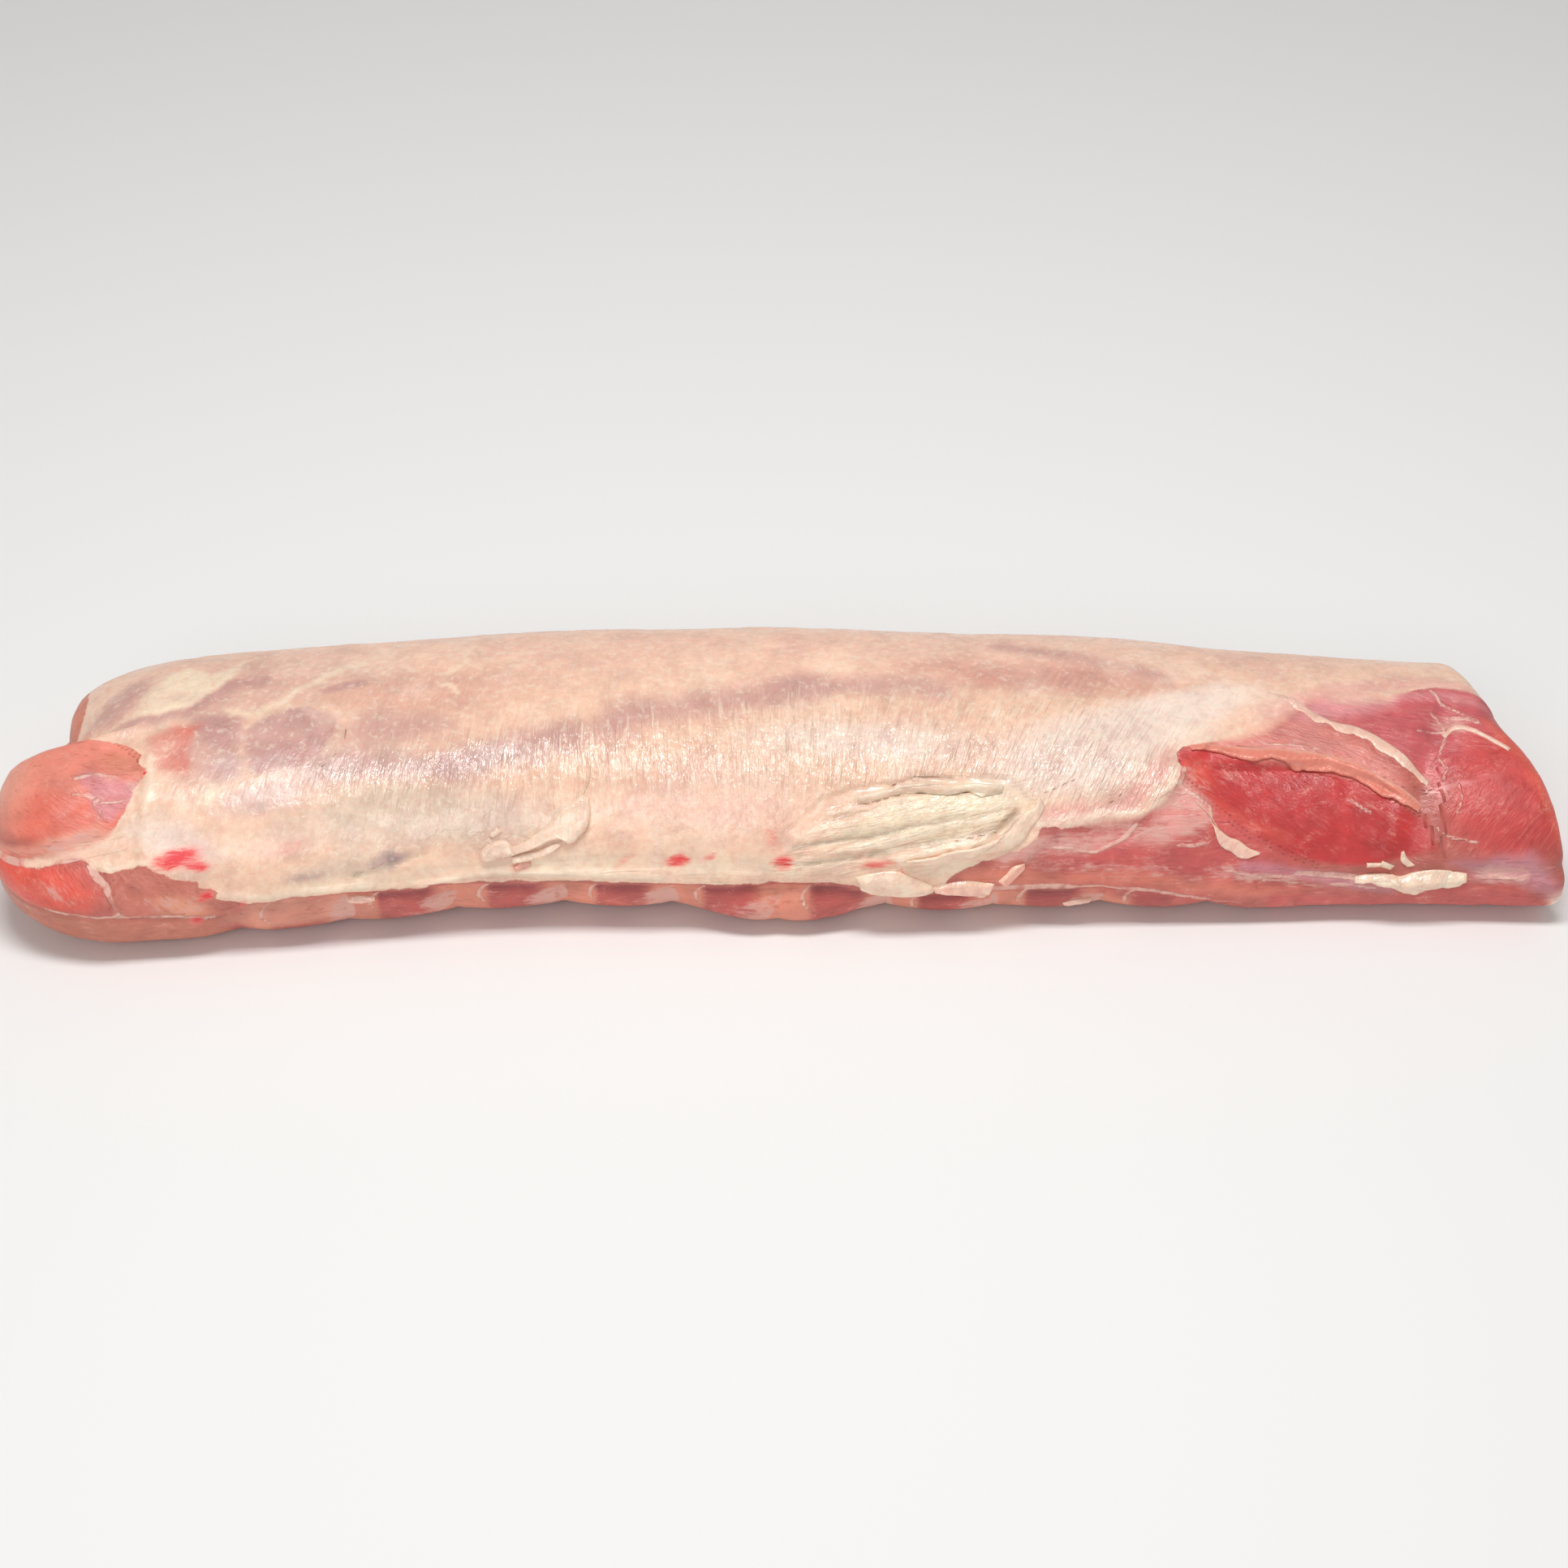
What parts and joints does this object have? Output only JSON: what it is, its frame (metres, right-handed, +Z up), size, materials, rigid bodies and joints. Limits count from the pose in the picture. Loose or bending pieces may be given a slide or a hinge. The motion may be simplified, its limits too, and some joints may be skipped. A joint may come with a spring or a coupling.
{
  "type": "pork loin",
  "caption": "Long raw boneless pork loin lying fat side up, with a rounded blade end, a slanted sirloin end, an open pocket in the lean and a strip of rib meat along one side.",
  "frame": {"origin": "under the middle of the loin's box, on the surface that it lies on", "axes": "+X along the loin from the blade end to the sirloin end, +Z up through the fat cover; the strip of rib meat is on the -Y side"},
  "size_m": [0.607, 0.147, 0.0733],
  "materials": {
    "pork_surface": "moist"
  },
  "bodies": {
    "root": {"pork_loin": "pork_surface"}
  },
  "joints": []
}
